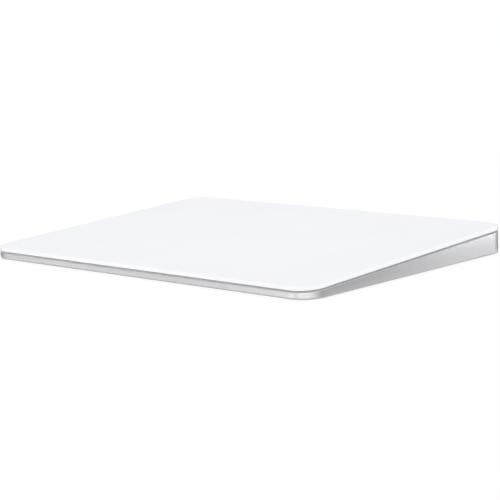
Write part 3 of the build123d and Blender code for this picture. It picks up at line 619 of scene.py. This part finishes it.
def model_screw(head_radius, head_height, shank_radius, length):
    """A flat-head screw, its head standing on the origin: a six-lobed recess and a thread."""
    bpy.ops.mesh.primitive_cylinder_add(
        vertices=screw_sides, radius=head_radius, depth=head_height,
        location=(0, 0, head_height / 2),
    )
    bpy.ops.object.transform_apply()
    screw = bpy.context.object

    def on_the_rim(edge):
        return all(end.z > head_height - tiny for end in ends_of(screw, edge))

    # The rim of the head is rounded over
    pick(screw, "EDGE", on_the_rim)
    bpy.ops.mesh.bevel(offset=screw_rim, segments=2)
    # A recess with six lobes is pressed into its top
    recess_radius = head_radius * recess_share
    pick(screw, "FACE", looks_up)
    bpy.ops.mesh.inset(thickness=head_radius - screw_rim - recess_radius)
    lobe_angle = math.tau / lobes
    side_angle = math.tau / screw_sides

    def between_lobes(corner):
        on_top = corner.co.z > head_height - tiny
        round_recess = corner.co.xy.length < recess_radius + tiny
        turn = math.atan2(corner.co.y, corner.co.x) % lobe_angle
        return on_top and round_recess and abs(turn - lobe_angle / 2) < side_angle / 2

    pick(screw, "VERT", between_lobes)
    stretch(x=lobe_share, y=lobe_share)
    pick(screw, "FACE", lambda face: looks_up(face) and len(face.vertices) == screw_sides)
    push(-recess_depth)
    # The shank grows out of the underside. Its thread is drawn as rings, whose crests stay
    # inside the flat sides of the plain shank
    pick(screw, "FACE", looks_down)
    crest_radius = shank_radius * math.cos(math.pi / plain_shank_sides)
    bpy.ops.mesh.inset(thickness=head_radius - crest_radius)
    turns = round(length / thread_pitch) - 1
    step = length / (turns + 1)
    push(-step / 2)
    for _ in range(turns):
        push(-step / 2)
        stretch(x=thread_root_share, y=thread_root_share)
        push(-step / 2)
        stretch(x=1 / thread_root_share, y=1 / thread_root_share)
    push(-step / 2)
    stretch(x=tip_share, y=tip_share)
    bpy.ops.object.mode_set(mode="OBJECT")
    return screw


def detail_screws(node_name, axis):
    """Replaces a node's screws, whose heads face an axis, each at its own place."""
    solids = solids_of(node_name)
    # Each screw's points dropped to the plane across the axis, and their middle
    across = [[point - axis * point.dot(axis) for point in points] for points in solids]
    lines = [sum(flat, Vector()) / len(flat) for flat in across]
    # The first screw gives the sizes of all
    heights = [point.dot(axis) for point in solids[0]]
    radii = [(flat - lines[0]).length for flat in across[0]]
    head_radius = max(radii)
    seat = min(height for height, radius in zip(heights, radii) if radius > head_radius - tiny)
    shank_radius = max(radius for height, radius in zip(heights, radii) if height < seat - tiny)
    head_height = max(heights) - seat
    model = model_screw(head_radius, head_height, shank_radius, length=seat - min(heights))
    copies = []
    for line, points in zip(lines, solids):
        top = max(point.dot(axis) for point in points)
        copies.append(copy_to(model, line + axis * (top - max(heights) + seat), axis))
    make_active(model)
    bpy.ops.object.delete()
    screws = join_pieces(copies)
    finish_piece(screws, "detailed_" + node_name, "housing", "screw_steel", [node_name])


def detail_feet():
    """Rubber feet with a rounded rim and a ring groove in the sole."""
    corners = ("front_left", "front_right", "rear_left", "rear_right")
    boxes = [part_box("foot_" + corner) for corner in corners]
    low, high = boxes[0]
    radius = (high.x - low.x) / 2
    height = high.z - low.z
    bpy.ops.mesh.primitive_cylinder_add(
        vertices=foot_sides, radius=radius, depth=height, location=(0, 0, height / 2)
    )
    bpy.ops.object.transform_apply()
    model = bpy.context.object
    pick(model, "EDGE", lambda edge: all(end.z < tiny for end in ends_of(model, edge)))
    bpy.ops.mesh.bevel(offset=foot_rim, segments=4)
    pick(model, "FACE", looks_down)
    bpy.ops.mesh.inset(thickness=foot_land)
    bpy.ops.mesh.inset(thickness=foot_groove)
    groove_outer = radius - foot_rim - foot_land
    groove_inner = groove_outer - foot_groove

    def in_groove(face):
        in_a_ring = looks_down(face) and len(face.vertices) == 4
        return in_a_ring and groove_inner < face.center.xy.length < groove_outer

    pick(model, "FACE", in_groove)
    push(foot_groove_depth)
    bpy.ops.object.mode_set(mode="OBJECT")
    for corner, (low, high) in zip(corners, boxes):
        middle = (low + high) / 2
        foot = copy_to(model, Vector((middle.x, middle.y, low.z)))
        finish_piece(foot, "detailed_foot_" + corner, "housing", "foot_rubber", ["foot_" + corner])
    make_active(model)
    bpy.ops.object.delete()


def model_winding(low, high, bore_low, bore_high):
    """The winding of one pole: a sleeve round its bore with a rib for each turn of wire."""
    middle = (low + high) / 2
    turns = round((high.x - low.x) / wire_pitch)
    pitch = (high.x - low.x) / turns
    winding = add_block(low, Vector((low.x + pitch, high.y, high.z)))
    pick(winding, "EDGE", lambda edge: runs_along(winding, edge, 0))
    bpy.ops.mesh.bevel(offset=winding_corner, segments=3)
    pick(winding, "FACE", lambda face: abs(face.normal.x) > square_limit)
    bpy.ops.mesh.delete(type="FACE")
    # One turn is fullest in its middle
    bpy.ops.mesh.select_all(action="SELECT")
    bpy.ops.mesh.bisect(plane_co=(low.x + pitch / 2, 0, 0), plane_no=(1, 0, 0))
    pick(winding, "VERT", lambda corner: abs(corner.co.x - low.x - pitch / 2) > pitch / 4)
    squeeze = [1 - 2 * wire_rib / (high[axis] - low[axis]) for axis in (1, 2)]
    stretch(y=squeeze[0], z=squeeze[1], centre=middle)
    bpy.ops.object.mode_set(mode="OBJECT")
    array = winding.modifiers.new("turns_of_wire", "ARRAY")
    array.count = turns
    array.use_relative_offset = False
    array.use_constant_offset = True
    array.constant_offset_displace = (pitch, 0, 0)
    array.use_merge_vertices = True
    array.merge_threshold = weld_gap
    bpy.ops.object.modifier_apply(modifier=array.name)

    def at_near_end(edge):
        return all(abs(end.x - low.x) < tiny for end in ends_of(winding, edge))

    # The near end is drawn in to the bore, the bore runs through, and the far end opens out
    pick(winding, "EDGE", at_near_end)
    narrow = [
        (bore_high[axis] - bore_low[axis]) / (high[axis] - low[axis]) / squeeze[axis - 1]
        for axis in (1, 2)
    ]
    bpy.ops.mesh.extrude_edges_move()
    stretch(y=narrow[0], z=narrow[1], centre=middle)
    through = (high.x - low.x, 0, 0)
    bpy.ops.mesh.extrude_edges_move(TRANSFORM_OT_translate={"value": through})
    bpy.ops.mesh.extrude_edges_move()
    stretch(y=1 / narrow[0], z=1 / narrow[1], centre=middle)
    bpy.ops.mesh.select_all(action="SELECT")
    bpy.ops.mesh.remove_doubles(threshold=tiny)
    bpy.ops.mesh.normals_make_consistent(inside=False)
    bpy.ops.object.mode_set(mode="OBJECT")
    return winding


def detail_windings():
    """Replaces the windings of both cores with ribbed ones."""
    first = min(solids_of("haptic_coils_left"), key=lambda points: points[0].y)
    low, high = box_of(first)
    middle = (low + high) / 2
    half_bore = Vector(
        [min(abs(point[axis] - middle[axis]) for point in first) for axis in range(3)]
    )
    half_bore += Vector((0, bore_room, bore_room))
    model = model_winding(low, high, middle - half_bore, middle + half_bore)
    for node_name in ("haptic_coils_left", "haptic_coils_right"):
        steps = [box_of(points)[0] - low for points in solids_of(node_name)]
        windings = join_pieces([copy_to(model, step) for step in steps])
        finish_piece(windings, "wound_" + node_name, "housing", "copper_winding", [node_name])
    make_active(model)
    bpy.ops.object.delete()


def detail_cell():
    """The pouch cell: drawn in on top by its vacuum, its side seams folded up."""
    points = solids_of("battery_cell")[0]
    low, high = box_of(points)
    # The pouch ends where the terrace begins, and leaves room for the seams
    pouch_right = sorted({round(point.x, level_decimals) for point in points})[-2]
    pouch_low = low + Vector((0, pouch_fold, 0))
    pouch_high = Vector((pouch_right, high.y - pouch_fold, high.z))
    cell = add_block(pouch_low, pouch_high)
    pick(cell, "EDGE", lambda edge: runs_along(cell, edge, 2))
    bpy.ops.mesh.bevel(offset=pouch_corner, segments=5)

    def on_a_face(edge):
        levels = [end.z for end in ends_of(cell, edge)]
        return max(levels) < low.z + tiny or min(levels) > high.z - tiny

    pick(cell, "EDGE", on_a_face)
    bpy.ops.mesh.bevel(offset=pouch_edge, segments=4)
    # The top slopes down inside its rim, and a second ring in it lies flat
    pick(cell, "FACE", looks_up)
    middle = (pouch_low + pouch_high) / 2
    pouch_size = pouch_high - pouch_low
    inner_shares = [1 - 2 * pouch_border / pouch_size[axis] for axis in (0, 1)]
    for depth in (pouch_dent, 0):
        push(-depth)
        stretch(x=inner_shares[0], y=inner_shares[1], centre=middle)
    # The terrace that carries the guard board
    terrace_low, terrace_high = box_of([point for point in points if point.x > high.x - tiny])
    terrace_low.x = pouch_right - pouch_edge
    add_block(terrace_low, terrace_high)
    # Folded seams up both long sides
    for side_y in (low.y, high.y - pouch_fold):
        add_block(
            Vector((low.x + fold_end_gap, side_y, low.z + fold_edge_gap)),
            Vector((pouch_right - fold_end_gap, side_y + pouch_fold, high.z - fold_edge_gap)),
        )
    bpy.ops.object.mode_set(mode="OBJECT")
    finish_piece(cell, "sealed_battery_cell", "housing", "cell_pouch", ["battery_cell"])


def detail_capacitors():
    """Ceramic capacitors with a metal cap on each end."""
    solids = [box_of(points) for points in solids_of("board_capacitors")]
    low, high = solids[0]
    inset = Vector((ceramic_inset, ceramic_inset, 0))
    body = add_block(low + inset, high - inset - Vector((0, 0, ceramic_inset)))
    bodies = join_pieces([copy_to(body, box[0] - low) for box in solids])
    cap = (high.y - low.y) * cap_share
    ends = add_block(low, Vector((high.x, low.y + cap, high.z)))
    bpy.ops.object.mode_set(mode="EDIT")
    add_block(Vector((low.x, high.y - cap, low.z)), high)
    bpy.ops.mesh.select_all(action="SELECT")
    bpy.ops.mesh.bevel(offset=cap_edge, segments=2)
    bpy.ops.object.mode_set(mode="OBJECT")
    caps = join_pieces([copy_to(ends, box[0] - low) for box in solids])
    for model in (body, ends):
        make_active(model)
        bpy.ops.object.delete()
    nodes = ["board_capacitors"]
    finish_piece(bodies, "capacitor_bodies", "housing", "capacitor_ceramic", nodes)
    finish_piece(caps, "capacitor_end_caps", "housing", "tinned_steel", nodes)


# The floor and the light. The floor's opening ends this far inside the outline of the trackpad
opening_margin = 1.5 * mm
opening_corner = 8 * mm
# The floor is this many times as wide as its opening
floor_growth = 400
studio_white = "#FFFFFF"
reflected_floor_colour = "#838486"
# The camera sees this share of white up to the first distance from the middle, and from the
# second on it sees nothing else
near_white_share = 0.9
shadow_reach = 160 * mm
plain_from = 400 * mm
# Reflections see the first share of white, but the second where the floor meets the trackpad, as
# painted light over its shadow there, and over this reach the one gives way to the other
reflected_white_share = 0.06
painted_light_share_at_trackpad = 0.5
painted_light_reach = 8 * mm
# The room as it lights surfaces, and as they reflect it
room_strength = 0.895
reflected_room_strength = 0.58


def white_share_of(tree, direct_share, reflected_share):
    """A ray's share of plain white: one for camera and transmitted rays, one for reflected."""
    rays = add_node(tree, "ShaderNodeLightPath")
    direct = add_node(
        tree, "ShaderNodeMath",
        {0: rays.outputs["Is Camera Ray"], 1: rays.outputs["Is Transmission Ray"]},
        operation="MAXIMUM",
    )
    straight = add_node(
        tree, "ShaderNodeMath", {0: direct.outputs["Value"], 1: direct_share},
        operation="MULTIPLY",
    )
    reflected = add_node(
        tree, "ShaderNodeMath",
        {0: rays.outputs["Is Glossy Ray"], 1: reflected_share},
        operation="MULTIPLY",
    )
    return add_node(
        tree, "ShaderNodeMath",
        {0: straight.outputs["Value"], 1: reflected.outputs["Value"]},
        operation="MAXIMUM",
    )


def lay_floor():
    """A plain pale floor: white to the camera but for the shadow, and clear from below."""
    bpy.ops.mesh.primitive_plane_add(size=1)
    floor = bpy.context.object
    floor.name = "studio_floor"
    # An opening under the trackpad, smaller than it, lets light reach the underside
    bpy.ops.object.mode_set(mode="EDIT")
    opening = [high - low - 2 * opening_margin for low, high in zip(body_low, body_high)]
    stretch(x=opening[0], y=opening[1])
    bpy.ops.mesh.bevel(offset=opening_corner, segments=6, affect="VERTICES")
    bpy.ops.mesh.delete(type="ONLY_FACE")
    bpy.ops.mesh.select_all(action="SELECT")
    bpy.ops.mesh.extrude_edges_indiv()
    stretch(x=floor_growth, y=floor_growth)
    bpy.ops.object.mode_set(mode="OBJECT")
    material = bpy.data.materials.new("matt_studio_floor")
    material.use_nodes = True
    tree = material.node_tree
    tree.nodes.remove(tree.nodes["Principled BSDF"])
    # The floor is white card, and reflections show it as a grey one
    rays = add_node(tree, "ShaderNodeLightPath")
    card = add_node(
        tree, "ShaderNodeMix",
        {
            mix_factor: rays.outputs["Is Glossy Ray"],
            mix_a: linear(studio_white),
            mix_b: linear(reflected_floor_colour),
        },
        data_type="RGBA",
    )
    matt = add_node(tree, "ShaderNodeBsdfDiffuse", {"Color": card.outputs[mix_colour]})
    white = add_node(tree, "ShaderNodeEmission", {"Strength": 1.0})
    # Round the trackpad the camera sees its shadow, and further out plain white
    place = add_node(tree, "ShaderNodeTexCoord")
    distance = add_node(
        tree, "ShaderNodeVectorMath", {0: place.outputs["Object"]}, operation="LENGTH"
    )
    direct_share = add_node(
        tree, "ShaderNodeMapRange",
        {
            "Value": distance.outputs["Value"],
            "From Min": shadow_reach, "From Max": plain_from,
            "To Min": near_white_share, "To Max": 1.0,
        },
    )
    # Painted light: reflections show it half white where it meets the trackpad, over its shadow
    # there, so that no dark line edges the walls
    from_middle = add_node(
        tree, "ShaderNodeVectorMath", {0: place.outputs["Object"]}, operation="ABSOLUTE"
    )
    past_edge = add_node(
        tree, "ShaderNodeVectorMath",
        {0: from_middle.outputs["Vector"], 1: body_high},
        operation="SUBTRACT",
    )
    sides = add_node(tree, "ShaderNodeSeparateXYZ", {0: past_edge.outputs["Vector"]})
    gap = add_node(
        tree, "ShaderNodeMath", {0: sides.outputs["X"], 1: sides.outputs["Y"]},
        operation="MAXIMUM",
    )
    painted_light_share = add_node(
        tree, "ShaderNodeMapRange",
        {
            "Value": gap.outputs["Value"], "From Min": 0, "From Max": painted_light_reach,
            "To Min": painted_light_share_at_trackpad, "To Max": reflected_white_share,
        },
    )
    share = white_share_of(tree, direct_share.outputs["Result"], painted_light_share.outputs["Result"])
    seen = add_node(
        tree, "ShaderNodeMixShader",
        {0: share.outputs["Value"], 1: matt.outputs["BSDF"], 2: white.outputs["Emission"]},
    )
    clear = add_node(tree, "ShaderNodeBsdfTransparent")
    side = add_node(tree, "ShaderNodeNewGeometry")
    whole = add_node(
        tree, "ShaderNodeMixShader",
        {0: side.outputs["Backfacing"], 1: seen.outputs["Shader"], 2: clear.outputs["BSDF"]},
    )
    tree.links.new(whole.outputs["Shader"], tree.nodes["Material Output"].inputs["Surface"])
    floor.data.materials.append(material)


def light_world():
    """Soft light from all round, which the camera sees as white."""
    world = bpy.data.worlds.new("studio_world")
    bpy.context.scene.world = world
    world.use_nodes = True
    tree = world.node_tree
    room = tree.nodes["Background"]
    room.inputs["Color"].default_value = linear(studio_white)
    # The room that surfaces reflect is dimmer than the one that lights them
    rays = add_node(tree, "ShaderNodeLightPath")
    strength = add_node(
        tree, "ShaderNodeMapRange",
        {
            "Value": rays.outputs["Is Glossy Ray"],
            "To Min": room_strength, "To Max": reflected_room_strength,
        },
    )
    tree.links.new(strength.outputs["Result"], room.inputs["Strength"])
    white = add_node(
        tree, "ShaderNodeBackground", {"Color": linear(studio_white), "Strength": 1.0}
    )
    share = white_share_of(tree, 1.0, reflected_white_share)
    mix = add_node(
        tree, "ShaderNodeMixShader",
        {
            0: share.outputs["Value"],
            1: room.outputs["Background"],
            2: white.outputs["Background"],
        },
    )
    tree.links.new(mix.outputs["Shader"], tree.nodes["World Output"].inputs["Surface"])


# The outer metal, which has strips of light of its own to reflect
outer_metal = bpy.data.collections.new("outer_metal")
for name in ("base_housing", "power_slider", "port_shell"):
    outer_metal.objects.link(frame["nodes"][name])


def hang_softbox(name, place, aim, size, watts):
    """A rectangular softbox at a place, turned to its aim, which the camera doesn't see."""
    bpy.ops.object.light_add(type="AREA", location=place)
    lamp = bpy.context.object
    lamp.name = name
    lamp.data.shape = "RECTANGLE"
    lamp.data.size, lamp.data.size_y = size
    lamp.data.energy = watts
    lamp.rotation_euler = (Vector(aim) - Vector(place)).to_track_quat("-Z", "Y").to_euler()
    lamp.visible_camera = False
    return lamp


def hang_strip(name, place, aim, size, watts):
    """A strip of light that falls on the outer metal alone."""
    lamp = hang_softbox(name, place, aim, size, watts)
    lamp.light_linking.receiver_collection = outer_metal


def light_trackpad():
    """Softboxes for everything, and low strips for the metal's walls and corners to reflect."""
    # The places that they are turned to
    middle = (0, 0, 0)
    front_edge = (0, -0.057, 0.005)
    near_corner = (0.076, -0.053, 0.005)
    rear_corner = (0.08, 0.048, 0.005)
    hang_softbox("overhead_softbox", (-0.05, -0.01, 0.3), (-0.02, 0, 0), (0.2, 0.2), watts=0.12)
    hang_softbox("high_right_softbox", (0.32, 0.08, 0.26), middle, (0.25, 0.2), watts=0.1)
    hang_softbox("front_softbox", (-0.1, -0.35, 0.15), middle, (0.25, 0.15), watts=0.07)
    hang_strip("left_strip", (-0.236, -0.242, 0.055), front_edge, (0.07, 0.1), watts=0.29)
    hang_strip("front_strip", (-0.078, -0.347, 0.055), front_edge, (0.07, 0.1), watts=0.62)
    hang_strip("corner_strip", (0.161, -0.393, 0.055), near_corner, (0.22, 0.1), watts=0.53)
    hang_strip("near_right_strip", (0.37, -0.243, 0.055), near_corner, (0.36, 0.1), watts=0.7)
    hang_strip("near_wall_strip", (0.42, -0.01, 0.055), near_corner, (0.12, 0.1), watts=0.19)
    hang_strip("right_rear_strip", (0.197, 0.198, 0.038), rear_corner, (0.042, 0.06), watts=0.27)


place_camera()
dress_nodes()
detail_feet()
detail_screws("beam_screws", deck_normal)
detail_screws("logic_board_screws", straight_up)
detail_screws("haptic_screws", straight_up)
detail_windings()
detail_cell()
detail_capacitors()
lay_floor()
light_world()
light_trackpad()

bpy.context.scene.view_settings.view_transform = "Standard"
